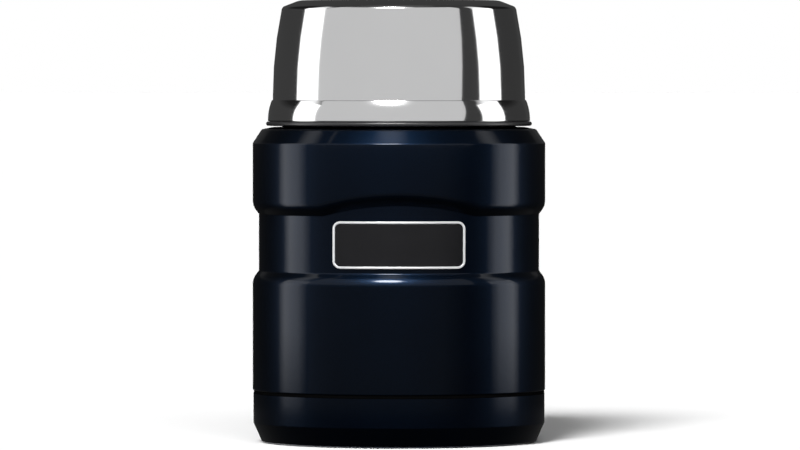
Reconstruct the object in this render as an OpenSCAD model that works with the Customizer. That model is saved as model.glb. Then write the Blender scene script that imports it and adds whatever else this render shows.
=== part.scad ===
// Insulated food jar: vacuum-walled steel jar, screw stopper and screw-on cup lid.
// Origin in the middle of the foot, +Z up, badge on the -Y side. Millimetres.

/* [Body] */
// Outer diameter of the two full-width bands
body_d = 94; // [92:0.5:100]
// Height of the lower band, from its foot to the waist
lower_band_h = 38.4; // [30:0.1:60]
// Height of the waist between the bands
waist_h = 18.2; // [17:0.1:30]
// Depth of the waist below the face of the bands
waist_depth = 1.97; // [1.5:0.01:2.2]
// Height over which each band rounds into the waist
band_round_h = 4.1; // [3.5:0.1:5]
// Height of the upper band, from the waist to the shoulder chamfer
upper_band_h = 22.8; // [18:0.1:40]
// Width of the chamfer at the shoulder
chamfer_w = 2.9; // [2:0.1:3.5]
// Height of the chamfer at the shoulder
chamfer_h = 4.4; // [3:0.1:6]
// Rise of the shoulder from its chamfer to the neck
shoulder_rise = 0.7; // [0.4:0.1:2]
// Thickness of the outer steel sheet
steel_t = 0.6; // [0.4:0.1:0.7]
// Rise of the arch in the upper band over the badge
arch_rise = 3.4; // [1:0.1:5]
// Angle from the middle of the arch to its foot
arch_angle = 33; // [28:1:40]

/* [Base] */
// Height of the base cup
base_h = 15.8; // [14:0.1:24]
// Height of the parting groove over the base cup
groove_h = 1; // [0.5:0.1:2]
// Depth of the parting groove, from the face of the band
groove_depth = 0.85; // [0.7:0.05:1.2]
// Step from the face of the band in to the base cup
cup_step = 0.2; // [0.1:0.05:0.3]
// Height of the chamfer at the foot
foot_chamfer_h = 6.4; // [4:0.1:8]
// Width of the chamfer at the foot
foot_chamfer_w = 2.84; // [2:0.01:4]
// Width of the flat ring that the jar stands on
foot_w = 7.5; // [4:0.5:12]
// Height of the recess inside the foot ring
foot_recess = 1.2; // [0.8:0.1:2]

/* [Neck and vessel] */
// Outer diameter of the neck
neck_d = 74.4; // [72:0.2:75]
// Height of the neck over the shoulder
neck_h = 11.8; // [11:0.1:16]
// Gap between the two steel walls of the neck
neck_gap = 1.7; // [1.2:0.1:2.2]
// Vacuum gap between the vessel and the outer sheet at the waist
vacuum_gap = 1.5; // [1:0.1:4]
// Thickness of the vessel's sheet
vessel_t = 0.5; // [0.4:0.1:0.6]
// Depth of the mouth, from the rim down to the stopper's seat
mouth_depth = 12.5; // [11:0.5:14]
// Width of the stopper's seat
seat_w = 2.6; // [2:0.1:3]
// Height of the vessel's shoulder below the seat
vessel_shoulder_h = 8.5; // [7:0.5:14]
// Height of the vessel's floor over the outer bottom
floor_lift = 5; // [4.5:0.5:15]

/* [Threads] */
// Rise of both threads in one turn
lead = 8; // [8:0.5:10]
// Height of a thread ridge
thread_h = 0.9; // [0.7:0.05:1.1]
// Clearance between a ridge and the wall it faces
thread_gap = 0.4; // [0.3:0.05:0.5]
// Width of a ridge at its root
ridge_root = 2.2; // [1.8:0.1:2.4]
// Width of a ridge at its crest
ridge_crest = 1; // [0.6:0.1:1.2]
// Offset of a moving ridge below the fixed ridge it hangs on
nest = 1.6; // [1.5:0.05:2]

/* [Stopper] */
// Depth of the plug below its seat
plug_depth = 5.5; // [3:0.5:10]
// Clearance of the plug in the throat
plug_gap = 0.8; // [0.5:0.1:1.2]
// Thickness of the stopper's moulded walls
plastic_t = 1.6; // [1.2:0.1:2]
// Height of the gasket
gasket_h = 2.7; // [2:0.1:3]
// Thickness of the stopper's flange
flange_t = 1.7; // [1.2:0.1:2.5]
// Height of the stopper's grip over its flange
grip_h = 6; // [4:0.5:9]
// Number of finger notches round the grip
notches = 36; // [12:2:48]
// Width of the bar between the finger wells
bar_w = 13; // [8:1:20]
// Clearance between pieces that turn past each other
run_gap = 0.3; // [0.2:0.05:0.4]

/* [Lid] */
// Height of the lid's steel cup
lid_h = 38.8; // [32:0.1:60]
// Thickness of the lid's steel sheet
lid_steel_t = 0.6; // [0.4:0.1:0.8]
// Thickness of the lid's liner
liner_t = 1.2; // [1:0.1:1.4]
// Gap between the liner and the steel cup
liner_gap = 0.24; // [0.2:0.02:0.6]
// Height of the lid's flared band
lid_band_h = 7.2; // [4:0.1:10]
// Flare of the band from the lid's wall
lid_flare = 1.58; // [1:0.02:2.5]
// Narrowing of the lid's wall from its band to its top edge
lid_narrowing = 3; // [1:0.05:4]
// Width of the chamfer round the lid's top
lid_chamfer_w = 5.55; // [3:0.05:8]
// Height of the chamfer round the lid's top
lid_chamfer_h = 2.15; // [1:0.05:3]
// Height of the trim ring under the lid
trim_h = 1.3; // [1:0.1:3]
// Width that the trim ring stands out from the lid's hem
trim_proud = 0.58; // [0.2:0.02:1]

/* [Badge] */
// Width of the badge
badge_w = 42; // [20:1:48]
// Height of the badge
badge_h = 15; // [8:0.5:16]
// Radius of the badge's corners
badge_corner = 2.4; // [1:0.1:4]
// Width of the badge's frame
frame_w = 0.75; // [0.6:0.05:2]
// Thickness of the badge's frame
frame_t = 1; // [0.8:0.1:1.5]
// Thickness of the badge's plate
plate_t = 0.7; // [0.4:0.1:0.8]

/* [Hidden] */
$fn = 96;

// Finest turn and longest chord of a rounded outline
arc_step = 8;
arc_chord = 2.5;
// Segments in one turn of a thread, and segments over which a ridge rises from its wall
ridge_steps = 48;
ridge_ramp = 3;
// Depth that a ridge's root is sunk in its wall
sink = 0.3;
// A little more than a cut needs
over = 1;

// Outer body, from the floor up
body_r = body_d / 2;
waist_r = body_r - waist_depth;
cup_r = body_r - cup_step;
sleeve_r = cup_r - steel_t;
sleeve_foot = foot_chamfer_h + steel_t;
shell_foot = base_h + groove_h;
waist_lo = shell_foot + lower_band_h;
waist_hi = waist_lo + waist_h;
chamfer_lo = waist_hi + upper_band_h;
chamfer_hi = chamfer_lo + chamfer_h;
shoulder_z = chamfer_hi + shoulder_rise;
rim_z = shoulder_z + neck_h;
neck_r = neck_d / 2;
// Arc that leaves the band's face upright and ends at the waist
band_round_r = (pow(waist_depth, 2) + pow(band_round_h, 2)) / (2 * waist_depth);
band_tangent = (pow(waist_depth, 2) + pow(band_round_h, 2)) / (2 * band_round_h);
// Flat part of the shoulder, out from the neck
shoulder_flat = 3.3;
// Small radii of the outer sheet's edges
edge_r = 0.4;
chamfer_edge_r = 0.9;
waist_fillet = 0.8;
// Window in the sheet that the arch fills
arch_lo = waist_hi - 1;
arch_hi = waist_hi + band_round_h + arch_rise + 1;
arch_pitch = 3;
window_angle = arch_angle + 1;
// Hairline of the weld round the panel
seam = 0.02;
seam_angle = 0.03;
// Softness of the arch's feet
arch_soft = 0.12;

// Inner vessel
tube_r = waist_r - steel_t - vacuum_gap;
mouth_r = neck_r - steel_t - neck_gap - vessel_t;
throat_r = mouth_r - seat_w;
seat_z = rim_z - mouth_depth;
throat_h = 3;
throat_lo = seat_z - throat_h;
tube_hi = seat_z - vessel_shoulder_h;
floor_z = sleeve_foot + steel_t + floor_lift;
vessel_corner = 6.5;
tube_lo = floor_z + vessel_corner + 1;
foil_t = 0.15;
foil_margin = 4;
rim_round = 0.3;

// Outer bottom, its seal and the getter
bottom_rim_h = 4;
seal_hole_r = 1.5;
seal_r = 4;
seal_t = 0.8;
getter_x = 20;
getter_r = 5;
getter_h = 2;
strap_t = 0.3;
strap_w = 4;
strap_foot = 3;
strap_side_gap = 0.2;
bottom_top = sleeve_foot + steel_t;

// Threads
neck_thread_z = shoulder_z + 3.2;
neck_thread_turns = 0.8;
lid_thread_angle = 110;
moving_thread_turns = 0.5;
mouth_thread_z = seat_z + 5.2;
mouth_thread_turns = 0.55;
stopper_thread_angle = 60;

// Stopper
barrel_r = mouth_r - thread_gap - thread_h;
plug_r = throat_r - plug_gap;
plug_z = seat_z - plug_depth;
seal_gap = 0.1;
gasket_lo = seat_z + seal_gap;
gasket_hi = gasket_lo + gasket_h;
barrel_lo = gasket_hi + 0.15;
flange_z = rim_z + run_gap;
grip_z = flange_z + flange_t;
grip_top = grip_z + grip_h;
bowl_r = neck_r - 0.8;
flange_r = bowl_r - 0.6;
grip_r = flange_r - 1.2;
grip_wall = 1.7;
head_r = grip_r - grip_wall;
well_r = head_r - 2;
well_floor = grip_z + 0.6;
notch_r = 1.2;
notch_depth = 0.5;

// Lid
skirt_r = neck_r + thread_h + thread_gap;
liner_r = skirt_r + liner_t;
lid_r = liner_r + liner_gap + lid_steel_t;
hem_gap = 0.1;
hem_r = lid_r + lid_flare;
ring_lo = shoulder_z + 0.5;
ring_hi = ring_lo + trim_h;
hem_z = ring_hi + hem_gap;
lid_top = hem_z + lid_h;
hem_w = 1.4;
hem_edge = 0.4;
hem_corner = 0.25;
band_arc_h = lid_band_h - hem_edge;
band_top = hem_z + lid_band_h;
lid_edge_z = lid_top - lid_chamfer_h;
lid_edge_r = lid_r - lid_narrowing;
lid_edge_round = 1.6;
wall_h = lid_edge_z - band_top;
lid_stop_z = rim_z + run_gap;
bowl_narrowing = 2.9;
ceiling_z = lid_top - 4.5;
bowl_corner = 7;
ring_r = hem_r + trim_proud;
ring_in = neck_r + thread_h + 0.5;
ring_round = trim_h * 0.45;

// Badge
badge_z = waist_lo + waist_h / 2;

steel_grey = "#c9ccd0";
navy = "#101a2c";
black = "#1b1b1d";

// First two numbers of a corner
function xy(p) = [p[0], p[1]];
function unit(v) = v / norm(v);
function left(v) = [-v[1], v[0]];
function reversed(list) = [for (i = [len(list) - 1 : -1 : 0]) list[i]];
// Radius of an arc that starts upright and moves across by dx while it rises by dz
function bow_radius(dx, dz) = (dx * dx + dz * dz) / (2 * dx);
// Height from the start of that arc to where its end tangents meet
function bow_tangent(dx, dz) = (dx * dx + dz * dz) / (2 * dz);

// Points of the arc of radius r that rounds corner b between a and c
function corner_arc(a, b, c, r) =
    let(u = unit(a - b), v = unit(c - b), half = acos(u * v) / 2,
        middle = b + unit(u + v) * r / sin(half),
        start = b + u * r / tan(half) - middle,
        end = b + v * r / tan(half) - middle,
        a0 = atan2(start[1], start[0]),
        turn = atan2(end[1], end[0]) - a0,
        sweep = turn > 180 ? turn - 360 : turn < -180 ? turn + 360 : turn,
        n = max(2, ceil(abs(sweep) / arc_step), ceil(abs(sweep) * PI / 180 * r / arc_chord)))
    [for (i = [0 : n]) middle + r * [cos(a0 + sweep * i / n), sin(a0 + sweep * i / n)]];

// Points of an open outline through corners [x, y, radius]
function rounded(path) = [for (i = [0 : len(path) - 1])
    each (i == 0 || i == len(path) - 1 || path[i][2] == 0)
        ? [xy(path[i])]
        : corner_arc(xy(path[i - 1]), xy(path[i]), xy(path[i + 1]), path[i][2])];

// Points of a closed outline through corners [x, y, radius]
function rounded_loop(path) = [for (i = [0 : len(path) - 1])
    let(n = len(path), a = xy(path[(i + n - 1) % n]), c = xy(path[(i + 1) % n]))
    each path[i][2] == 0 ? [xy(path[i])] : corner_arc(a, xy(path[i]), c, path[i][2])];

// The same corners moved to the left of the path by t, with concentric radii
function moved(path, t) = [for (i = [0 : len(path) - 1])
    let(last = len(path) - 1, p = xy(path[i]),
        u = i == 0 ? unit(xy(path[1]) - p) : unit(p - xy(path[i - 1])),
        v = i == last ? u : unit(xy(path[i + 1]) - p),
        q = p + t * (left(u) + left(v)) / (1 + left(u) * left(v)),
        r = path[i][2] - t * sign(cross(u, v)))
    [q[0], q[1], path[i][2] == 0 ? 0 : max(0.05, r)]];

// Section of a sheet of thickness t, whose outer face follows the path
function sheet(path, t) = concat(rounded(path), reversed(rounded(moved(path, t))));

// Height of the arch at an angle from its middle
function arch(angle) = let(u = max(0, 1 - pow(angle / arch_angle, 2)))
    arch_rise * u * u / (u + arch_soft) * (1 + arch_soft);

module lathe(points) {
    rotate_extrude() polygon(points);
}

module tube(r_out, r_in, z0, z1) {
    lathe([[r_in, z0], [r_out, z0], [r_out, z1], [r_in, z1]]);
}

// Solid through a row of closed sections of equally many points, turning anticlockwise
module swept(sections, flip = false) {
    m = len(sections[0]);
    last = len(sections) - 1;
    sides = [for (i = [0 : last - 1]) for (j = [0 : m - 1])
        let(a = i * m + j, b = i * m + (j + 1) % m)
        each [[a, b, b + m], [a, b + m, a + m]]];
    caps = [[for (j = [m - 1 : -1 : 0]) j], [for (j = [0 : m - 1]) last * m + j]];
    faces = concat(sides, caps);
    polyhedron([for (s = sections) each s], flip ? [for (f = faces) reversed(f)] : faces);
}

// Helical ridge on a wall of radius wall_r, outwards for side 1 and inwards for side -1
module ridge(wall_r, side, z0, angle0, turns) {
    n = ceil(turns * ridge_steps);
    swept([for (i = [0 : n])
        let(a = angle0 + 360 * turns * i / n,
            z = z0 + lead * turns * i / n,
            full = min(1, i / ridge_ramp, (n - i) / ridge_ramp),
            root = wall_r - side * sink,
            crest = wall_r + side * (thread_h * full - sink / 2 * (1 - full)))
        [for (p = [[root, -ridge_root], [crest, -ridge_crest], [crest, ridge_crest], [root, ridge_root]])
            [p[0] * cos(a), p[0] * sin(a), z + p[1] / 2]]], side < 0);
}

// Two-start thread
module thread(wall_r, side, z0, angle0, turns) {
    for (start = [0, 180]) ridge(wall_r, side, z0, angle0 + start, turns);
}

// Outer face of the painted sheet, from its sleeve in the base cup up to the rim
function shell_path() = [
    [sleeve_r, sleeve_foot, 0],
    [sleeve_r, shell_foot, 0],
    [body_r, shell_foot, edge_r],
    [body_r, waist_lo - band_tangent, band_round_r * 0.995],
    [waist_r, waist_lo, waist_fillet],
    [waist_r, waist_hi, waist_fillet],
    [body_r, waist_hi + band_tangent, band_round_r * 0.995],
    [body_r, chamfer_lo, chamfer_edge_r],
    [body_r - chamfer_w, chamfer_hi, chamfer_edge_r],
    [neck_r + shoulder_flat, shoulder_z, chamfer_edge_r],
    [neck_r, shoulder_z, chamfer_edge_r],
    [neck_r, rim_z - vessel_t, 0]];

// Face of the sheet in the arch, at a depth below the outer face and a lift over the plain edge
function arch_face(depth, lift) =
    let(points = rounded(moved([
            [waist_r, arch_lo + seam, 0],
            [waist_r, waist_hi, waist_fillet],
            [body_r, waist_hi + band_tangent, band_round_r * 0.995],
            [body_r, arch_hi - seam, 0]], depth)),
        last = len(points) - 1)
    [for (i = [0 : last]) points[i] + [0, i == 0 || i == last ? 0 : lift]];

// Part of the sheet whose lower band edge rises in an arch over the badge, butt-welded in its window
module arch_panel() {
    columns = ceil(arch_angle / arch_pitch) + 1;
    half = window_angle - seam_angle;
    swept([for (i = [-columns : columns])
        let(angle = half * i / columns)
        [for (p = concat(arch_face(0, arch(angle)), reversed(arch_face(steel_t, arch(angle)))))
            [p[0] * sin(angle), -p[0] * cos(angle), p[1]]]]);
}

// Wedge of the front that the arch panel takes the place of
module arch_window() {
    reach = body_r / cos(window_angle) + over;
    translate([0, 0, arch_lo]) linear_extrude(arch_hi - arch_lo)
        polygon([[0, 0], [-reach * sin(window_angle), -reach * cos(window_angle)],
            [reach * sin(window_angle), -reach * cos(window_angle)]]);
}

module outer_shell() {
    color(navy) union() {
        difference() {
            lathe(sheet(shell_path(), steel_t));
            arch_window();
        }
        arch_panel();
        thread(neck_r, 1, neck_thread_z, 0, neck_thread_turns);
    }
}

// Pressed pan welded into the foot of the outer sheet
module outer_bottom() {
    pan_r = sleeve_r - steel_t;
    color(steel_grey) difference() {
        lathe(sheet([[0, sleeve_foot, 0], [pan_r, sleeve_foot, 1.2],
            [pan_r, sleeve_foot + bottom_rim_h, 0]], steel_t));
        translate([0, 0, sleeve_foot - over]) cylinder(r = seal_hole_r, h = steel_t + 2 * over);
    }
}

// Brazed plug that closes the evacuation hole
module vacuum_seal() {
    color("#8f8f92") lathe([[0, sleeve_foot - seal_t], [seal_r, sleeve_foot - seal_t],
        [seal_r, sleeve_foot], [seal_hole_r, sleeve_foot], [seal_hole_r, bottom_top], [0, bottom_top]]);
}

// Spun inner vessel with its throat, stopper seat, threaded mouth and turned-out lip
module inner_vessel() {
    path = [[tube_r, tube_lo, 0], [tube_r, tube_hi, 5],
        [throat_r + vessel_t, throat_lo, 1],
        [throat_r + vessel_t, seat_z - vessel_t, rim_round],
        [mouth_r + vessel_t, seat_z - vessel_t, 0.6],
        [mouth_r + vessel_t, rim_z - vessel_t, rim_round],
        [neck_r, rim_z - vessel_t, 0]];
    color(steel_grey) union() {
        lathe(sheet(path, vessel_t));
        thread(mouth_r, -1, mouth_thread_z, 0, mouth_thread_turns);
    }
}

module vessel_bottom() {
    color(steel_grey) lathe(sheet([[0, floor_z - vessel_t, 0],
        [tube_r, floor_z - vessel_t, vessel_corner], [tube_r, tube_lo, 0]], vessel_t));
}

// Foil wrapped round the vessel
module radiation_foil() {
    color("#b87333") tube(tube_r + foil_t, tube_r, tube_lo + foil_margin, tube_hi - 5 - foil_margin);
}

module getter() {
    color("#55565a") translate([getter_x, 0, bottom_top]) cylinder(r = getter_r, h = getter_h);
}

// Strap spot-welded over the getter
module getter_strap() {
    side = getter_r + strap_side_gap + strap_t;
    end = side + strap_foot;
    color(steel_grey) translate([getter_x, strap_w / 2, bottom_top]) rotate([90, 0, 0])
        linear_extrude(strap_w) polygon(sheet([[-end, strap_t, 0], [-side, strap_t, 0],
            [-side, getter_h + strap_t, 0], [side, getter_h + strap_t, 0],
            [side, strap_t, 0], [end, strap_t, 0]], -strap_t));
}

module base_cup() {
    foot_r = cup_r - foot_chamfer_w;
    foot_in = foot_r - foot_w;
    color(navy) lathe(sheet([[0, foot_recess, 0], [foot_in - foot_recess, foot_recess, 0.8],
        [foot_in, 0, 0.7], [foot_r, 0, 1.5], [cup_r, foot_chamfer_h, 0.8], [cup_r, base_h, 0]], steel_t));
}

// Piece of a ring on the waist, cut to a rounded rectangle inset from the badge's outline
module badge_blank(thickness, inset) {
    w = badge_w / 2 - inset;
    h = badge_h / 2 - inset;
    r = badge_corner - inset;
    intersection() {
        tube(waist_r + thickness, waist_r, badge_z - badge_h, badge_z + badge_h);
        translate([0, 0, badge_z]) rotate([90, 0, 0]) linear_extrude(body_r + over)
            polygon(rounded_loop([[-w, -h, r], [w, -h, r], [w, h, r], [-w, h, r]]));
    }
}

module badge_frame() {
    color("#d7d8da") difference() {
        badge_blank(frame_t, 0);
        translate([0, 0, badge_z]) rotate([90, 0, 0]) linear_extrude(body_r + 2 * over)
            polygon(rounded_loop([for (c = [[-1, -1], [1, -1], [1, 1], [-1, 1]])
                [c[0] * (badge_w / 2 - frame_w), c[1] * (badge_h / 2 - frame_w), badge_corner - frame_w]]));
    }
}

module badge_plate() {
    color(black) badge_blank(plate_t, frame_w);
}

// Outer face of the stopper's moulded cup
function stopper_path() = [[0, plug_z, 0], [plug_r, plug_z, 2], [plug_r, barrel_lo, 0],
    [barrel_r, barrel_lo, 0.4], [barrel_r, flange_z, 0]];

module stopper_body() {
    bead = 0.35;
    bead_z = gasket_lo - run_gap - bead;
    color(black) union() {
        lathe(sheet(stopper_path(), plastic_t));
        lathe([[plug_r - sink, bead_z - bead], [plug_r, bead_z - bead], [plug_r + bead, bead_z],
            [plug_r, bead_z + bead], [plug_r - sink, bead_z + bead]]);
        thread(barrel_r, 1, mouth_thread_z + lead * stopper_thread_angle / 360 - nest,
            stopper_thread_angle, moving_thread_turns);
    }
}

// Welded top with a spigot, a flange over the rim and two finger wells beside a bar
module stopper_cap() {
    spigot_r = barrel_r - plastic_t;
    color("#232326") difference() {
        lathe([[0, flange_z], [spigot_r - plastic_t, flange_z], [spigot_r - plastic_t, flange_z - 2],
            [spigot_r, flange_z - 2], [spigot_r, flange_z], [flange_r, flange_z], [flange_r, grip_z],
            [head_r, grip_z], [head_r, grip_top], [0, grip_top]]);
        translate([0, 0, well_floor]) linear_extrude(grip_h + over) difference() {
            circle(r = well_r);
            square([2 * well_r + over, bar_w], center = true);
        }
    }
}

// Ring of finger notches round the stopper's head
module stopper_grip() {
    color(black) translate([0, 0, grip_z]) linear_extrude(grip_h) difference() {
        circle(r = grip_r);
        circle(r = head_r);
        for (i = [0 : notches - 1]) rotate(360 * i / notches)
            translate([grip_r - notch_depth + notch_r, 0]) circle(r = notch_r, $fn = 24);
    }
}

// Insulating foam that fills the stopper up to the cap's spigot
module stopper_foam() {
    inside = rounded(moved(stopper_path(), plastic_t));
    last = len(inside) - 1;
    top = flange_z - 2;
    color("#e8e3d0") lathe(concat([for (i = [0 : last - 1]) inside[i]], [[inside[last][0], top], [0, top]]));
}

// Two-lipped gasket on the plug, over the vessel's seat
module stopper_gasket() {
    inner = plug_r + 0.15;
    lip = 0.7;
    color("#c9c6bd") lathe([[inner, gasket_lo], [barrel_r - lip / 2, gasket_lo],
        [barrel_r, gasket_lo + lip], [barrel_r - lip, gasket_lo + gasket_h / 2],
        [barrel_r, gasket_hi - lip], [barrel_r - lip / 2, gasket_hi], [inner, gasket_hi]]);
}

// Polished cup: rolled hem, flared band, bowed wall and chamfered top
module lid_shell() {
    color(steel_grey) lathe(sheet([[hem_r - hem_w, hem_z, 0], [hem_r, hem_z, hem_corner],
        [hem_r, hem_z + hem_edge + bow_tangent(lid_flare, band_arc_h),
            bow_radius(lid_flare, band_arc_h) * 0.98],
        [lid_r, band_top, 0],
        [lid_r, band_top + bow_tangent(lid_narrowing, wall_h), bow_radius(lid_narrowing, wall_h) * 0.94],
        [lid_edge_r, lid_edge_z, lid_edge_round],
        [lid_edge_r - lid_chamfer_w, lid_top, 7],
        [0, lid_top, 0]], lid_steel_t));
}

// Moulded liner: threaded skirt, stop over the rim and the cup's bowl
module lid_liner() {
    flange_lo = hem_z + lid_steel_t;
    color(black) union() {
        lathe(sheet([[liner_r, hem_z, 0], [liner_r, lid_stop_z + liner_t, 0.8],
            [bowl_r + liner_t, lid_stop_z + liner_t, 0.6],
            [bowl_r + liner_t - bowl_narrowing, ceiling_z + liner_t, bowl_corner],
            [0, ceiling_z + liner_t, 0]], liner_t));
        tube(hem_r - lid_steel_t - 0.3, liner_r - sink, flange_lo, flange_lo + liner_t);
        thread(skirt_r, -1, neck_thread_z + lead * lid_thread_angle / 360 - nest,
            lid_thread_angle, moving_thread_turns);
    }
}

// Black trim ring between the shoulder and the lid's hem
module lid_ring() {
    color(black) lathe(rounded_loop([[ring_in, ring_lo, 0.3], [ring_r, ring_lo, ring_round],
        [ring_r, ring_hi, ring_round], [ring_in, ring_hi, 0.3]]));
}

outer_shell();
outer_bottom();
vacuum_seal();
inner_vessel();
vessel_bottom();
radiation_foil();
getter();
getter_strap();
base_cup();
badge_frame();
badge_plate();
stopper_body();
stopper_cap();
stopper_grip();
stopper_foam();
stopper_gasket();
lid_shell();
lid_liner();
lid_ring();
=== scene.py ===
"""Insulated food jar with a screw stopper and a screw-on cup lid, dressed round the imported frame.

Shapes are written in millimetres, as in the part's source, and turned into metres when a mesh is made.
The camera and the studio are written in metres. All angles are in degrees, and azimuth 0 is the
camera's side of the jar, 90 is +X.
"""
import math

import bmesh
import bpy
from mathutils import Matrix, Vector


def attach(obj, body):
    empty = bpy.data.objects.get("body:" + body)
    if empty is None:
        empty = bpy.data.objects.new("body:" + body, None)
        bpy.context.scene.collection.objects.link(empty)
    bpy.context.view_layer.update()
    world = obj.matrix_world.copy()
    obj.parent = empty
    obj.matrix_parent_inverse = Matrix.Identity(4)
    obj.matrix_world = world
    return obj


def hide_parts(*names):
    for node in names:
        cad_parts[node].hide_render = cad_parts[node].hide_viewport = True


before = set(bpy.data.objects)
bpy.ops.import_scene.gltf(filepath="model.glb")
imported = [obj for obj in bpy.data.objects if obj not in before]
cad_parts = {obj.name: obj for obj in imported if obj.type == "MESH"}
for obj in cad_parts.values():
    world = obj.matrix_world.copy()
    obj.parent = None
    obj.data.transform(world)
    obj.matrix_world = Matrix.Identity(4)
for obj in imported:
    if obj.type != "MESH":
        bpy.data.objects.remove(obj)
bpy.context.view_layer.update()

MM = 0.001

# Columns round a turned piece and round the outer sheet, whose arch needs more of them
COLUMNS, SHELL_COLUMNS = 288, 360
# Angle of one step on a rounded corner
ARC_STEP = 4.0
# Points nearer than this are joined, and edges that turn by more than SHARP are shaded sharp
WELD = 0.002
SHARP = 26.0

# ---------------------------------------------------------------- camera

SENSOR, LENS = 36.0, 333.0
EYE = (0.33 * MM, -2.379, 119.2 * MM)
TILT_DOWN = 1.19

scene = bpy.context.scene
scene.view_settings.view_transform = "Standard"

camera_data = bpy.data.cameras.new("camera")
camera_data.sensor_width = SENSOR
camera_data.lens = LENS
camera_data.clip_start = 0.05
camera_data.clip_end = 100.0
camera = bpy.data.objects.new("camera", camera_data)
scene.collection.objects.link(camera)
camera.location = EYE
camera.rotation_euler = (math.radians(90.0 - TILT_DOWN), 0.0, 0.0)
scene.camera = camera

# ---------------------------------------------------------------- outlines

MIN_ROUND = 0.05


def unit(v):
    d = math.hypot(v[0], v[1])
    return (v[0] / d, v[1] / d)


def corner_arc(a, b, c, r, step=ARC_STEP):
    """Points of the arc of radius r that rounds corner b between a and c."""
    u, v = unit((a[0] - b[0], a[1] - b[1])), unit((c[0] - b[0], c[1] - b[1]))
    half = math.acos(max(-1.0, min(1.0, u[0] * v[0] + u[1] * v[1]))) / 2
    m = unit((u[0] + v[0], u[1] + v[1]))
    mid = (b[0] + m[0] * r / math.sin(half), b[1] + m[1] * r / math.sin(half))
    s = (b[0] + u[0] * r / math.tan(half) - mid[0], b[1] + u[1] * r / math.tan(half) - mid[1])
    e = (b[0] + v[0] * r / math.tan(half) - mid[0], b[1] + v[1] * r / math.tan(half) - mid[1])
    a0 = math.atan2(s[1], s[0])
    sweep = (math.atan2(e[1], e[0]) - a0 + math.pi) % (2 * math.pi) - math.pi
    n = max(3, math.ceil(abs(math.degrees(sweep)) / step - 1e-6))
    return [(mid[0] + r * math.cos(a0 + sweep * i / n), mid[1] + r * math.sin(a0 + sweep * i / n))
            for i in range(n + 1)]


def rounded(path, closed=False, step=ARC_STEP):
    """Points of an outline through corners (x, y, radius)."""
    points, n = [], len(path)
    for i, p in enumerate(path):
        if p[2] == 0 or (not closed and i in (0, n - 1)):
            points.append((p[0], p[1]))
        else:
            points += corner_arc(path[i - 1], p, path[(i + 1) % n], p[2], step)
    return points


def moved(path, t):
    """The same corners moved to the left of the path by t, with concentric radii."""
    runs = [unit((b[0] - a[0], b[1] - a[1])) for a, b in zip(path, path[1:])]
    out = []
    for i, (x, y, r) in enumerate(path):
        u, v = runs[max(i - 1, 0)], runs[min(i, len(runs) - 1)]
        lu, lv = (-u[1], u[0]), (-v[1], v[0])
        k = t / (1 + lu[0] * lv[0] + lu[1] * lv[1])
        turn = u[0] * v[1] - u[1] * v[0]
        side = (turn > 1e-9) - (turn < -1e-9)
        out.append((x + k * (lu[0] + lv[0]), y + k * (lu[1] + lv[1]),
                    max(MIN_ROUND, r - t * side) if r else 0))
    return out


def sheet(path, t):
    """Section of a sheet of thickness t whose outer face follows the path."""
    return rounded(path) + rounded(moved(path, t))[::-1]


def bow(dx, dz):
    """Radius of an arc that starts upright, and the height of its corner."""
    return (dx * dx + dz * dz) / (2 * dx), (dx * dx + dz * dz) / (2 * dz)


# ---------------------------------------------------------------- meshes


def finish_mesh(name, verts, faces, sharp=SHARP):
    mesh = bpy.data.meshes.new(name)
    mesh.from_pydata([(x * MM, y * MM, z * MM) for x, y, z in verts], [], faces)
    bm = bmesh.new()
    bm.from_mesh(mesh)
    bmesh.ops.remove_doubles(bm, verts=bm.verts, dist=WELD * MM)
    bmesh.ops.recalc_face_normals(bm, faces=bm.faces)
    bm.to_mesh(mesh)
    bm.free()
    mesh.shade_smooth()
    mesh.set_sharp_from_angle(angle=math.radians(sharp))
    obj = bpy.data.objects.new(name, mesh)
    scene.collection.objects.link(obj)
    return obj


def revolve(section, columns=COLUMNS):
    """A closed section turned round the axis. It may be a function of the angle from the front."""
    verts, faces, n = [], [], 0
    for c in range(columns):
        angle = 360.0 * c / columns
        points = section(angle) if callable(section) else section
        n = len(points)
        a = math.radians(angle)
        verts += [(r * math.sin(a), -r * math.cos(a), z) for r, z in points]
    for c in range(columns):
        d = (c + 1) % columns
        for j in range(n):
            k = (j + 1) % n
            if points[j][0] < 1e-6 and points[k][0] < 1e-6:
                continue
            faces.append((c * n + j, d * n + j, d * n + k, c * n + k))
    return verts, faces


def loft(rings, closed=False):
    """A skin through rings of points, and from the last back to the first if it is closed."""
    m, n = len(rings), len(rings[0])
    verts = [p for ring in rings for p in ring]
    faces = []
    for i in range(m if closed else m - 1):
        a, b = i * n, (i + 1) % m * n
        faces += [(a + j, a + (j + 1) % n, b + (j + 1) % n, b + j) for j in range(n)]
    return verts, faces


def join(parts):
    verts, faces = [], []
    for v, f in parts:
        base = len(verts)
        verts += v
        faces += [tuple(i + base for i in face) for face in f]
    return verts, faces


# ---------------------------------------------------------------- sizes, as in the source where it has them

STEEL_T = 0.6

# Outer sheet: bands, waist, shoulder and neck
BODY_R, WAIST_R, NECK_R = 47.0, 45.03, 37.2
SLEEVE_R, SLEEVE_FOOT, SHELL_FOOT = 46.2, 7.0, 16.8
WAIST_LO, WAIST_HI, WAIST_FILLET = 55.2, 73.4, 0.8
BAND_ROUND, BAND_TANGENT = 5.25 * 0.995, 2.523
CHAMFER_LO, CHAMFER_HI, CHAMFER_RUN = 96.2, 100.6, 2.9
SHOULDER_Z, SHOULDER_RUN = 101.3, 3.3
NECK_TOP = 112.6
SHELL_FOOT_ROUND, CHAMFER_ROUND, SHOULDER_ROUND = 0.4, 0.85, 0.9

# The arch in the upper band: half its angle, its rise and how softly it fades
ARCH_HALF, ARCH_RISE, ARCH_SOFT = 33.0, 3.4, 0.12

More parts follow.
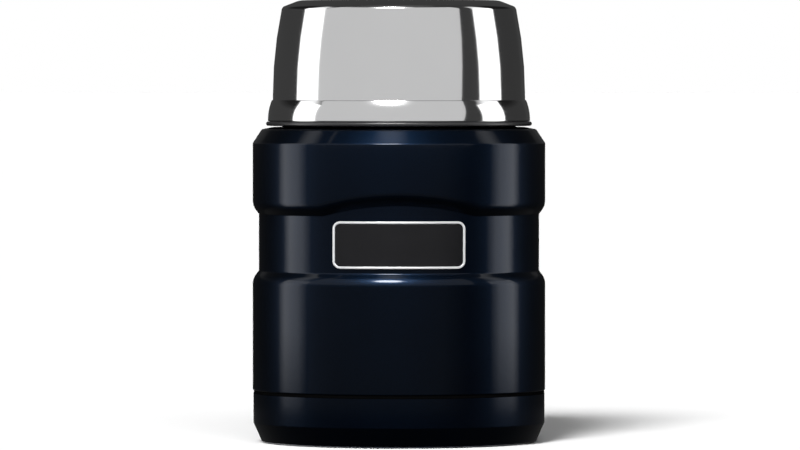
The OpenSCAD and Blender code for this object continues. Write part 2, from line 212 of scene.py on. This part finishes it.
# Threads: lead, height, and one ridge's half foot, half crest, root in the wall and rounding
LEAD, THREAD_H = 8.0, 0.9
RIDGE_FOOT, RIDGE_CREST, RIDGE_ROOT, RIDGE_ROUND = 1.1, 0.5, 0.3, 0.22
# A ridge ends this deep in the wall, over so many of its steps, with this share of its rounding
RIDGE_END, RIDGE_FADE, RIDGE_END_ROUND = 0.15, 8.0, 0.2
RIDGE_STEPS, RIDGE_ARC_STEP = 120, 18
NECK_THREAD_Z, NECK_THREAD_TURNS = SHOULDER_Z + 3.2, 0.8

# Base cup: raised middle, foot and chamfer
CUP_R, BASE_H = 46.8, 15.8
MIDDLE_R, MIDDLE_H, FOOT_IN, FOOT_OUT, FOOT_TOP = 35.26, 1.2, 36.46, 43.96, 6.4

# Near-black line in the groove between the outer sheet and the base cup, a piece of the scene alone: painted
# shade that darkens the groove
GROOVE_SHADE_BACK, GROOVE_SHADE_EDGE, GROOVE_SHADE_FACE = 46.1, 46.6, 46.7
GROOVE_SHADE_GAP, GROOVE_SHADE_BEVEL = 0.03, 0.15

# Cup lid: hem, flared band, the narrow ledge that only the scene has, bowed wall and chamfered top
HEM_R, HEM_Z, HEM_LIP, HEM_UPRIGHT, HEM_ROUND = 42.12, 103.2, 1.4, 0.4, 0.25
LEDGE, LEDGE_Z, LEDGE_ROUND = 0.35, 109.9, 0.45
LID_R, WALL_Z, BAND_TOP = 40.54, 110.0, 110.4
LID_EDGE_R, LID_EDGE_Z, LID_EDGE_ROUND = 37.54, 139.85, 1.6
LID_TOP, LID_CHAMFER_RUN, LID_TOP_ROUND = 142.0, 5.55, 7.0
# Shares of their full radius that the two bows keep, so that each arc ends on its own edge
HEM_BOW, WALL_BOW = 0.98, 0.94

# Trim ring under the hem. Its foot is 0.1 lower than the solid's
RING_IN, RING_OUT, RING_LO, RING_HI = 38.6, 42.7, 101.7, 103.1
RING_ROUND, RING_IN_ROUND, RING_ARC_STEP = 0.63, 0.3, 9

# Badge. It starts at BADGE_FOOT over the waist, and its face ends at FACE_H
BADGE_Z, BADGE_W, BADGE_H, BADGE_CORNER = 64.3, 42.0, 15.0, 2.4
FRAME_W, BADGE_FOOT, FACE_H = 0.75, 0.02, 0.7
# Section of the border: distance in from its outer edge, height over the waist
FRAME_SECTION = [
    (0.0, BADGE_FOOT), (0.0, 0.76), (0.03, 0.87), (0.10, 0.96), (0.2, 1.0), (FRAME_W / 2, 1.0),
    (FRAME_W - 0.2, 1.0), (FRAME_W - 0.10, 0.96), (FRAME_W - 0.03, 0.87), (FRAME_W, 0.76),
    (FRAME_W, BADGE_FOOT)]
BADGE_ARC_STEP, LONG_SIDE_STEPS, SHORT_SIDE_STEPS, FACE_RINGS = 9.0, 32, 8, 8

# ---------------------------------------------------------------- turned pieces and the thread


def arch(angle):
    """Lift of the upper band's lower edge at an angle from the front."""
    angle = (angle + 180.0) % 360.0 - 180.0
    u = max(0.0, 1.0 - (angle / ARCH_HALF) ** 2)
    return ARCH_RISE * u * u / (u + ARCH_SOFT) * (1 + ARCH_SOFT)


def shell_section(angle):
    lift = arch(angle)
    return sheet([
        (SLEEVE_R, SLEEVE_FOOT, 0), (SLEEVE_R, SHELL_FOOT, 0), (BODY_R, SHELL_FOOT, SHELL_FOOT_ROUND),
        (BODY_R, WAIST_LO - BAND_TANGENT, BAND_ROUND), (WAIST_R, WAIST_LO, WAIST_FILLET),
        (WAIST_R, WAIST_HI + lift, WAIST_FILLET), (BODY_R, WAIST_HI + BAND_TANGENT + lift, BAND_ROUND),
        (BODY_R, CHAMFER_LO, CHAMFER_ROUND), (BODY_R - CHAMFER_RUN, CHAMFER_HI, SHOULDER_ROUND),
        (NECK_R + SHOULDER_RUN, SHOULDER_Z, SHOULDER_ROUND), (NECK_R, SHOULDER_Z, SHOULDER_ROUND),
        (NECK_R, NECK_TOP, 0)], STEEL_T)


def ridge(wall, z0, angle0, turns):
    """One helical ridge on a round wall, with its ends run out into the wall."""
    n = math.ceil(turns * RIDGE_STEPS)
    sections = []
    for i in range(n + 1):
        a = math.radians(angle0 + 360.0 * turns * i / n)
        z = z0 + LEAD * turns * i / n
        f = min(1.0, i / RIDGE_FADE, (n - i) / RIDGE_FADE)
        f = f * f * (3 - 2 * f)
        crest = wall + (THREAD_H * f - RIDGE_END * (1 - f))
        root = wall - RIDGE_ROOT
        r_crest = RIDGE_ROUND * max(f, RIDGE_END_ROUND)
        section = rounded([(root, -RIDGE_FOOT, 0), (crest, -RIDGE_CREST, r_crest),
                           (crest, RIDGE_CREST, r_crest), (root, RIDGE_FOOT, 0)],
                          closed=True, step=RIDGE_ARC_STEP)
        sections.append([(r * math.cos(a), r * math.sin(a), z + h) for r, h in section])
    verts, faces = loft(sections)
    m = len(sections[0])
    faces.append(tuple(range(m)))
    faces.append(tuple(n * m + j for j in reversed(range(m))))
    return verts, faces


def thread(wall, z0, turns):
    """The two ridges of a two-start thread."""
    return [ridge(wall, z0, start, turns) for start in (0, 180)]


base_section = sheet([
    (0, MIDDLE_H, 0), (MIDDLE_R, MIDDLE_H, 0.8), (FOOT_IN, 0, 0.7), (FOOT_OUT, 0, 1.5),
    (CUP_R, FOOT_TOP, 0.8), (CUP_R, BASE_H, 0)], STEEL_T)

# Section of the near-black groove line, which paints the groove's shade
groove_shade_section = [
    (GROOVE_SHADE_BACK, BASE_H + GROOVE_SHADE_GAP), (GROOVE_SHADE_EDGE, BASE_H + GROOVE_SHADE_GAP), (GROOVE_SHADE_FACE, BASE_H + GROOVE_SHADE_BEVEL),
    (GROOVE_SHADE_FACE, SHELL_FOOT - GROOVE_SHADE_BEVEL), (GROOVE_SHADE_EDGE, SHELL_FOOT - GROOVE_SHADE_GAP),
    (GROOVE_SHADE_BACK, SHELL_FOOT - GROOVE_SHADE_GAP)]

hem_bow_r, hem_bow_z = bow(HEM_R - LID_R - LEDGE, LEDGE_Z - HEM_Z - HEM_UPRIGHT)
wall_bow_r, wall_bow_z = bow(LID_R - LID_EDGE_R, LID_EDGE_Z - BAND_TOP)
lid_section = sheet([
    (HEM_R - HEM_LIP, HEM_Z, 0), (HEM_R, HEM_Z, HEM_ROUND),
    (HEM_R, HEM_Z + HEM_UPRIGHT + hem_bow_z, hem_bow_r * HEM_BOW),
    (LID_R + LEDGE, LEDGE_Z, LEDGE_ROUND), (LID_R, WALL_Z, 0),
    (LID_R, BAND_TOP + wall_bow_z, wall_bow_r * WALL_BOW),
    (LID_EDGE_R, LID_EDGE_Z, LID_EDGE_ROUND), (LID_EDGE_R - LID_CHAMFER_RUN, LID_TOP, LID_TOP_ROUND),
    (0, LID_TOP, 0)], STEEL_T)

ring_section = rounded([
    (RING_IN, RING_LO, RING_IN_ROUND), (RING_OUT, RING_LO, RING_ROUND),
    (RING_OUT, RING_HI, RING_ROUND), (RING_IN, RING_HI, RING_IN_ROUND)],
    closed=True, step=RING_ARC_STEP)

# ---------------------------------------------------------------- badge


def badge_outline(inset):
    """Outline of the badge, a distance in from its edge, with points along its straight sides."""
    w, h, r = BADGE_W / 2 - inset, BADGE_H / 2 - inset, BADGE_CORNER - inset
    corners = [(-w, -h), (w, -h), (w, h), (-w, h)]
    arcs = [corner_arc(corners[i - 1], p, corners[(i + 1) % 4], r, BADGE_ARC_STEP)
            for i, p in enumerate(corners)]
    points = []
    for i, arc in enumerate(arcs):
        a, b = arc[-1], arcs[(i + 1) % 4][0]
        n = LONG_SIDE_STEPS if i % 2 == 0 else SHORT_SIDE_STEPS
        points += arc
        points += [(a[0] + (b[0] - a[0]) * k / n, a[1] + (b[1] - a[1]) * k / n) for k in range(1, n)]
    return points


def on_waist(points, height):
    """Flat points laid on the front of the waist."""
    r = WAIST_R + height
    return [(x, -math.sqrt(r * r - x * x), BADGE_Z + z) for x, z in points]


def badge_frame_mesh():
    return loft([on_waist(badge_outline(d), h) for d, h in FRAME_SECTION], closed=True)


def badge_plate_mesh():
    """A plate whose rings of faces shrink from the edge to a line along its middle."""
    outline = badge_outline(FRAME_W)
    spine = BADGE_W / 2 - BADGE_H / 2
    rings = []
    for k in range(FACE_RINGS + 1):
        s = 1 - k / FACE_RINGS
        rings.append([(max(-spine, min(spine, x)) * (1 - s) + x * s, z * s) for x, z in outline])
    under = [on_waist(ring, BADGE_FOOT) for ring in rings[::-1]]
    return loft(under + [on_waist(ring, FACE_H) for ring in rings])


# ---------------------------------------------------------------- materials

# The middle of a noise's range, over which a look changes
NOISE_LOW, NOISE_HIGH = 0.3, 0.7


def material(name, colour, metallic=0.0, roughness=0.5, specular=0.5, coat=0.0, coat_roughness=0.1):
    mat = bpy.data.materials.new(name)
    mat.use_nodes = True
    shader = mat.node_tree.nodes["Principled BSDF"]
    shader.inputs["Base Color"].default_value = (*colour, 1.0)
    shader.inputs["Metallic"].default_value = metallic
    shader.inputs["Roughness"].default_value = roughness
    shader.inputs["Specular IOR Level"].default_value = specular
    shader.inputs["Coat Weight"].default_value = coat
    shader.inputs["Coat Roughness"].default_value = coat_roughness
    return mat, mat.node_tree, shader


def coords(tree, scale=(1, 1, 1)):
    co = tree.nodes.new("ShaderNodeTexCoord")
    mapping = tree.nodes.new("ShaderNodeMapping")
    mapping.inputs["Scale"].default_value = scale
    tree.links.new(co.outputs["Object"], mapping.inputs["Vector"])
    return mapping.outputs["Vector"]


def noise(tree, vector, scale, detail=3.0, rough=0.55):
    node = tree.nodes.new("ShaderNodeTexNoise")
    node.inputs["Scale"].default_value = scale
    node.inputs["Detail"].default_value = detail
    node.inputs["Roughness"].default_value = rough
    tree.links.new(vector, node.inputs["Vector"])
    return node.outputs["Fac"]


def maths(tree, operation, a, b):
    node = tree.nodes.new("ShaderNodeMath")
    node.operation = operation
    tree.links.new(a, node.inputs[0])
    tree.links.new(b, node.inputs[1])
    return node.outputs[0]


def vary_roughness(tree, shader, value, low, high):
    node = tree.nodes.new("ShaderNodeMapRange")
    node.inputs["From Min"].default_value = NOISE_LOW
    node.inputs["From Max"].default_value = NOISE_HIGH
    node.inputs["To Min"].default_value = low
    node.inputs["To Max"].default_value = high
    tree.links.new(value, node.inputs["Value"])
    tree.links.new(node.outputs["Result"], shader.inputs["Roughness"])


def vary_colour(tree, shader, value, first, last, low=NOISE_LOW, high=NOISE_HIGH):
    ramp = tree.nodes.new("ShaderNodeValToRGB")
    ramp.color_ramp.elements[0].position = low
    ramp.color_ramp.elements[1].position = high
    ramp.color_ramp.elements[0].color = (*first, 1)
    ramp.color_ramp.elements[1].color = (*last, 1)
    tree.links.new(value, ramp.inputs["Fac"])
    tree.links.new(ramp.outputs["Color"], shader.inputs["Base Color"])


def bump(tree, shader, value, strength, distance, also=()):
    node = tree.nodes.new("ShaderNodeBump")
    node.inputs["Strength"].default_value = strength
    node.inputs["Distance"].default_value = distance
    tree.links.new(value, node.inputs["Height"])
    for socket in ("Normal", *also):
        tree.links.new(node.outputs["Normal"], shader.inputs[socket])


def paint(name, coat, coat_roughness):
    """Metallic paint under a clear coat: flakes in the colour, orange peel in the surface."""
    mat, tree, shader = material(name, NAVY_LIGHT, metallic=1.0, roughness=0.37, specular=0.06,
                                 coat=coat, coat_roughness=coat_roughness)
    shader.inputs["Coat IOR"].default_value = 1.26
    flakes = tree.nodes.new("ShaderNodeTexVoronoi")
    flakes.inputs["Scale"].default_value = 5200.0
    tree.links.new(coords(tree), flakes.inputs["Vector"])
    vary_colour(tree, shader, flakes.outputs["Distance"], NAVY_LIGHT, NAVY_DARK, low=0.1, high=0.9)
    vary_roughness(tree, shader, noise(tree, coords(tree), scale=60.0), low=0.35, high=0.39)
    peel = noise(tree, coords(tree), scale=420.0, detail=2.0)
    bump(tree, shader, peel, strength=0.03, distance=0.0004, also=("Coat Normal",))
    return mat


def steel(name, colour, low, high, grain=(1, 1, 1), scale=300.0, strength=0.02, metallic=1.0):
    """Bare steel of roughness low to high. The grain says how much finer its noise is along each axis."""
    mat, tree, shader = material(name, colour, metallic=metallic, roughness=low)
    lines = noise(tree, coords(tree, grain), scale, detail=4.0, rough=0.6)
    vary_roughness(tree, shader, lines, low, high)
    vary_colour(tree, shader, noise(tree, coords(tree), scale=35.0), [c * 0.97 for c in colour], colour)
    bump(tree, shader, lines, strength, distance=0.00005)
    return mat


def plastic(name, colour, roughness, strength=0.06, scale=900.0, specular=0.5):
    """Moulded plastic or rubber with a fine grain."""
    mat, tree, shader = material(name, colour, roughness=roughness, specular=specular)
    grain = noise(tree, coords(tree), scale, detail=4.0)
    vary_roughness(tree, shader, grain, roughness * 0.9, min(1.0, roughness * 1.12))
    vary_colour(tree, shader, noise(tree, coords(tree), scale=70.0),
                [c * 0.88 for c in colour], [min(1, c * 1.1) for c in colour])
    bump(tree, shader, grain, strength, distance=0.0001)
    return mat


NAVY_DARK, NAVY_LIGHT = (0.0020, 0.0057, 0.0139), (0.0033, 0.0091, 0.0220)
materials = {
    "painted_steel": paint("painted_steel", coat=1.0, coat_roughness=0.07),
    "base_paint": paint("base_paint", coat=0.95, coat_roughness=0.12),
    "plain_steel": steel("plain_steel", (0.56, 0.55, 0.54), 0.26, 0.38, grain=(1, 1, 6), scale=200.0),
    "satin_steel": steel("satin_steel", (0.60, 0.60, 0.60), 0.20, 0.30, grain=(1, 1, 14), scale=160.0,
                         strength=0.04),
    "seal_metal": steel("seal_metal", (0.42, 0.42, 0.43), 0.35, 0.5),
    "foil": steel("foil", (0.80, 0.46, 0.27), 0.18, 0.3, grain=(1, 1, 3), scale=120.0, strength=0.2),
    "getter_metal": steel("getter_metal", (0.16, 0.16, 0.17), 0.45, 0.6),
    "badge_metal": steel("badge_metal", (0.62, 0.63, 0.64), 0.30, 0.40, grain=(1, 1, 3), scale=500.0,
                         strength=0.03, metallic=0.4),
    "badge_face": plastic("badge_face", (0.0047, 0.0047, 0.0055), 0.22, strength=0.02, scale=500.0),
    "stopper_plastic": plastic("stopper_plastic", (0.016, 0.016, 0.017), 0.42),
    "grip_rubber": plastic("grip_rubber", (0.020, 0.020, 0.021), 0.62, strength=0.15, scale=1300.0),
    # Near-black, barely reflecting material of the groove line: painted shade
    "painted_groove_shade": plastic("painted_groove_shade", (0.0008, 0.0008, 0.0009), 0.9, strength=0.1, scale=1300.0,
                            specular=0.02),
    "foam": plastic("foam", (0.86, 0.85, 0.81), 0.95, strength=0.8, scale=1500.0),
    "silicone": plastic("silicone", (0.46, 0.47, 0.48), 0.48, strength=0.05, scale=600.0),
    "polished_steel": steel("polished_steel", (0.70, 0.70, 0.705), 0.060, 0.085, grain=(1, 1, 26),
                            scale=90.0, strength=0.012),
    "liner_plastic": plastic("liner_plastic", (0.018, 0.018, 0.019), 0.38),
    "ring_plastic": plastic("ring_plastic", (0.014, 0.014, 0.015), 0.34, strength=0.03, specular=0.6),
}

SLOT_OF = {
    "outer_shell": "painted_steel", "outer_bottom": "plain_steel", "vacuum_seal": "seal_metal",
    "inner_vessel": "satin_steel", "vessel_bottom": "satin_steel", "radiation_foil": "foil",
    "getter": "getter_metal", "getter_strap": "plain_steel", "base_cup": "base_paint",
    "badge_frame": "badge_metal", "badge_plate": "badge_face", "stopper_body": "stopper_plastic",
    "stopper_cap": "stopper_plastic", "stopper_grip": "grip_rubber", "stopper_foam": "foam",
    "stopper_gasket": "silicone", "lid_shell": "polished_steel", "lid_liner": "liner_plastic",
    "lid_ring": "ring_plastic",
}
for node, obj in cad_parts.items():
    obj.data.materials.clear()
    obj.data.materials.append(materials[SLOT_OF[node]])

# ---------------------------------------------------------------- pieces


def piece(name, mesh, body, node, sharp=SHARP):
    obj = finish_mesh(name, *mesh, sharp=sharp)
    obj.data.materials.append(materials[SLOT_OF[node]])
    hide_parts(node)
    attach(obj, body)


shell = revolve(shell_section, SHELL_COLUMNS)
neck_thread = thread(NECK_R, NECK_THREAD_Z, NECK_THREAD_TURNS)
piece("painted_body", join([shell] + neck_thread), "jar", "outer_shell")
piece("painted_base", revolve(base_section), "jar", "base_cup")
# The groove line: a near-black ring that paints the groove's shade
groove_shade_line = finish_mesh("groove_shade_line", *revolve(groove_shade_section))
groove_shade_line.data.materials.append(materials["painted_groove_shade"])
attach(groove_shade_line, "jar")
piece("badge_rim", badge_frame_mesh(), "jar", "badge_frame", sharp=50.0)
piece("badge_field", badge_plate_mesh(), "jar", "badge_plate")
piece("cup_shell", revolve(lid_section), "cup_lid", "lid_shell")
piece("trim_hoop", revolve(ring_section), "trim_ring", "lid_ring")

# ---------------------------------------------------------------- studio cards

# Height of the cards' centre, and the size of their faces across and up
CARD_CENTRE, CARD_STEP, CARD_RISE = 0.12, 4, 6
FENCE_LO, FENCE_HI = 0.001, 0.100
MAT_SIZE, MAT_Z = 0.46, 0.0005


def direction(azimuth, elevation):
    a, e = math.radians(azimuth), math.radians(elevation)
    return (math.sin(a) * math.cos(e), -math.cos(a) * math.cos(e), math.sin(e))


def profile(tree, value, stops):
    """Shares of light at the places of a value, from (place, share) pairs."""
    ramp = tree.nodes.new("ShaderNodeValToRGB")
    ramp.color_ramp.elements[0].position = stops[0][0]
    ramp.color_ramp.elements[1].position = stops[-1][0]
    for position, _ in stops[1:-1]:
        ramp.color_ramp.elements.new(position)
    for element, (_, share) in zip(ramp.color_ramp.elements, stops):
        element.color = (share, share, share, 1)
    tree.links.new(value, ramp.inputs["Fac"])
    return ramp.outputs["Color"]


def emission_material(name, strength, across=None, up=None, disc=None):
    """Light of one strength, or one that fades across the screen, up it or out from its middle."""
    mat = bpy.data.materials.new(name)
    mat.use_nodes = True
    tree = mat.node_tree
    tree.nodes.clear()
    emit = tree.nodes.new("ShaderNodeEmission")
    emit.inputs["Strength"].default_value = strength
    out = tree.nodes.new("ShaderNodeOutputMaterial")
    tree.links.new(emit.outputs["Emission"], out.inputs["Surface"])
    if not (across or up or disc):
        return mat
    place = tree.nodes.new("ShaderNodeUVMap")
    place.uv_map = "screen"
    shares = []
    if disc:
        middle = tree.nodes.new("ShaderNodeVectorMath")
        middle.operation = "DISTANCE"
        middle.inputs[1].default_value = (0.5, 0.5, 0.0)
        tree.links.new(place.outputs["UV"], middle.inputs[0])
        shares.append(profile(tree, middle.outputs["Value"], disc))
    for stops, axis in ((across, "X"), (up, "Y")):
        if stops:
            split = tree.nodes.new("ShaderNodeSeparateXYZ")
            tree.links.new(place.outputs["UV"], split.inputs["Vector"])
            shares.append(profile(tree, split.outputs[axis], stops))
    share = shares[0]
    for other in shares[1:]:
        share = maths(tree, "MULTIPLY", share, other)
    tree.links.new(share, emit.inputs["Color"])
    return mat


def screen(name, n, m, point, strength, across=None, up=None, disc=None):
    """A studio screen that only reflections show, through point(u, v) for u and v from 0 to 1."""
    verts = [point(i / n, j / m) for i in range(n + 1) for j in range(m + 1)]
    faces = [(i * (m + 1) + j, (i + 1) * (m + 1) + j, (i + 1) * (m + 1) + j + 1, i * (m + 1) + j + 1)
             for i in range(n) for j in range(m)]
    mesh = bpy.data.meshes.new(name)
    mesh.from_pydata(verts, [], faces)
    uv = mesh.uv_layers.new(name="screen")
    for loop in mesh.loops:
        i, j = divmod(loop.vertex_index, m + 1)
        uv.data[loop.index].uv = (i / n, j / m)
    mesh.materials.append(emission_material(name, strength, across, up, disc))
    obj = bpy.data.objects.new(name, mesh)
    scene.collection.objects.link(obj)
    obj.visible_camera = obj.visible_diffuse = obj.visible_shadow = False
    obj.visible_transmission = False


def card(name, azimuths, elevations, radius, strength, lean=(0, 0), **fades):
    """A curved card round the jar. Its two upright edges may lean by so many degrees."""
    (az0, az1), (el0, el1) = azimuths, elevations

    def point(u, v):
        x, y, z = direction((az0 + lean[0] * v) * (1 - u) + (az1 + lean[1] * v) * u, el0 + (el1 - el0) * v)
        return (radius * x, radius * y, CARD_CENTRE + radius * z)
    n, m = round(abs(az1 - az0) / CARD_STEP), round(abs(el1 - el0) / CARD_RISE)
    screen(name, n, m, point, strength, **fades)


def fence(name, azimuths, radius, strength, **fades):
    """A low upright card that keeps the lit floor out of what the upright walls reflect."""
    az0, az1 = azimuths

    def point(u, v):
        a = math.radians(az0 + (az1 - az0) * u)
        return (radius * math.sin(a), -radius * math.cos(a), FENCE_LO + (FENCE_HI - FENCE_LO) * v)
    screen(name, round(abs(az1 - az0) / CARD_STEP), 1, point, strength, **fades)


# Strengths of the dark cards, the grey one before the jar, and the side strips and their high and low parts
DARK, GREY, STRIP, HIGH_STRIP, LOW_STRIP = 0.055, 0.75, 2.1, 0.7 * 2.1, 2.55
DARK_RIGHT = DARK * 0.85
# Radii of the far cards, of those just inside them, of the side strips, of the low strips and just past these
FAR, NEAR, SIDE, LOW, LOW_OUT = 2.7, 2.65, 2.6, 0.22, 0.221
# Elevations at which the cards start and end
FOOT, CROWN = -8, 72

# Shares of a card's strength, from its left edge to its right, from its foot up or out from its middle.
# The darkness at the jar's back corners is deepest a little over the horizon
BACK_UP = [(0.0, 1.0), (0.25, 1.0), (0.33, 0.3), (0.62, 0.3), (0.72, 1.0), (1.0, 1.0)]
BOX_DISC = [(0.17, 1), (0.25, 0.16), (0.29, 0.025), (0.37, 0.0155), (0.45, 0.0128), (0.5, 0.0125)]
BOX_HIGH_DISC = [(0.0, 0.95), (0.2, 0.8), (0.36, 0.45), (0.5, 0.2)]
LOW_FRONT_ACROSS = [(0.0, 1.0), (0.72, 1.0), (0.86, 0.2), (1.0, 0.2)]
# The side strips' shares run from their inner edge to their outer edge
STRIP_ACROSS = [(0.0, 0.3), (0.05, 1.0), (0.95, 1.0), (1.0, 0.3)]
HIGH_ACROSS = [(0.0, 0.1), (0.35, 0.9), (0.5, 1.0), (0.65, 0.9), (1.0, 0.1)]
LOW_ACROSS = [(0.0, 0.02), (0.15, 0.42), (0.28, 0.82), (0.60, 1.0), (0.70, 1.0), (0.84, 0.4), (0.94, 0.02)]
LOW_UP = [(0.0, 0.3), (0.04, 0.38), (0.10, 0.55), (0.30, 0.95), (0.6, 1.05), (1.0, 1.05)]

card("dark_back", (150, 210), (FOOT, CROWN), FAR, DARK)
card("dark_left", (-150, -106), (FOOT, CROWN), FAR, DARK, up=BACK_UP)
card("dark_right", (106, 150), (FOOT, CROWN), FAR, DARK_RIGHT, up=BACK_UP)
card("dark_gap", (50, 80), (FOOT, CROWN), FAR, DARK)
card("grey_front", (-80, 57), (FOOT, 52), NEAR, GREY, lean=(0, 13))
card("dark_front_high", (-78, 63), (52, CROWN), FAR, DARK)
card("overhead", (0, 360), (CROWN, 90), FAR, strength=0.15)
card("front_box", (-40, 20), (26, 61), radius=2.5, strength=60.0, disc=BOX_DISC)
card("front_box_high", (-34, 12), (58, 76), radius=2.45, strength=2.8, disc=BOX_HIGH_DISC)
for side, name, dark_from in ((-1, "left", 80), (1, "right", 76)):
    strip = (78 * side, 107 * side)
    card("side_" + name, strip, (FOOT, 26), SIDE, STRIP, across=STRIP_ACROSS)
    card("side_high_" + name, strip, (26, 50), SIDE, HIGH_STRIP, lean=(11 * side, 4 * side),
         across=HIGH_ACROSS)
    fence("side_low_" + name, (69 * side, 102 * side), LOW, LOW_STRIP, across=LOW_ACROSS, up=LOW_UP)
    card("side_dark_" + name, (dark_from * side, 110 * side), (26, CROWN), NEAR, DARK)
fence("dark_low_front", (-70, 70), LOW_OUT, strength=0.20, across=LOW_FRONT_ACROSS)
fence("dark_low_back", (97, 263), LOW_OUT, strength=0.011)
screen("dark_mat", 1, 1, lambda u, v: (MAT_SIZE * (u - 0.5), MAT_SIZE * (v - 0.5), MAT_Z), strength=0.032)

# ---------------------------------------------------------------- lights, world and floor

SOFTBOX_W, SOFTBOX_H, SOFTBOX_OFF = 0.5, 1.2, 1.3
SOFTBOX_AIM = Vector((0, 0, 0.07))
AMBIENT = 0.05
FLOOR_R, FLOOR_SIDES = 40.0, 96


def light(name, kind, azimuth, elevation):
    """A light on the jar that no reflection shows, because the cards are there for that."""
    data = bpy.data.lights.new(name, kind)
    obj = bpy.data.objects.new(name, data)
    scene.collection.objects.link(obj)
    obj.rotation_euler = Vector(direction(azimuth, elevation)).to_track_quat("Z", "Y").to_euler()
    obj.visible_glossy = False
    return data, obj


def softbox(name, azimuth, elevation, strength):
    """A softbox whose face shows at the given radiance."""
    data, obj = light(name, "AREA", azimuth, elevation)
    data.shape = "RECTANGLE"
    data.size, data.size_y = SOFTBOX_W, SOFTBOX_H
    data.energy = strength * SOFTBOX_W * SOFTBOX_H * math.pi
    obj.location = SOFTBOX_AIM + Vector(direction(azimuth, elevation)) * SOFTBOX_OFF
    obj.visible_camera = False


def sun(name, azimuth, elevation, angle, energy):
    """A far soft light that casts the jar's shadow."""
    data, _ = light(name, "SUN", azimuth, elevation)
    data.energy, data.angle = energy, math.radians(angle)


softbox("left_light", -92, 12, strength=0.5)
softbox("right_light", 92, 12, strength=0.25)
sun("key_light", -16, 38.5, angle=17, energy=4.75)
sun("fill_light", 10, 38.5, angle=22, energy=0.86)


def background(tree, strength):
    node = tree.nodes.new("ShaderNodeBackground")
    node.inputs["Strength"].default_value = strength
    node.inputs["Color"].default_value = (1, 1, 1, 1)
    return node.outputs[0]


def surround():
    """White where the camera, a reflection or glass sees it, and weak all round as light."""
    world = bpy.data.worlds.new("studio")
    scene.world = world
    world.use_nodes = True
    tree = world.node_tree
    tree.nodes.clear()
    path = tree.nodes.new("ShaderNodeLightPath")
    seen = maths(tree, "MAXIMUM", path.outputs["Is Camera Ray"], path.outputs["Is Glossy Ray"])
    seen = maths(tree, "MAXIMUM", seen, path.outputs["Is Transmission Ray"])
    mix = tree.nodes.new("ShaderNodeMixShader")
    out = tree.nodes.new("ShaderNodeOutputWorld")
    tree.links.new(seen, mix.inputs["Fac"])
    tree.links.new(background(tree, AMBIENT), mix.inputs[1])
    tree.links.new(background(tree, 1.0), mix.inputs[2])
    tree.links.new(mix.outputs[0], out.inputs["Surface"])


def floor():
    """A plain pale floor round the jar, too wide for its edge to show."""
    turns = [2 * math.pi * i / FLOOR_SIDES for i in range(FLOOR_SIDES)]
    mesh = bpy.data.meshes.new("floor")
    mesh.from_pydata([(FLOOR_R * math.cos(a), FLOOR_R * math.sin(a), 0) for a in turns],
                     [], [tuple(range(FLOOR_SIDES))])
    mat = bpy.data.materials.new("floor")
    mat.use_nodes = True
    tree = mat.node_tree
    tree.nodes.clear()
    diffuse = tree.nodes.new("ShaderNodeBsdfDiffuse")
    ramp = tree.nodes.new("ShaderNodeValToRGB")
    ramp.color_ramp.elements[0].color = (0.86, 0.86, 0.86, 1)
    ramp.color_ramp.elements[1].color = (0.88, 0.88, 0.88, 1)
    tree.links.new(noise(tree, coords(tree), scale=40.0), ramp.inputs["Fac"])
    tree.links.new(ramp.outputs["Color"], diffuse.inputs["Color"])
    out = tree.nodes.new("ShaderNodeOutputMaterial")
    tree.links.new(diffuse.outputs["BSDF"], out.inputs["Surface"])
    mesh.materials.append(mat)
    obj = bpy.data.objects.new("floor", mesh)
    scene.collection.objects.link(obj)


surround()
floor()
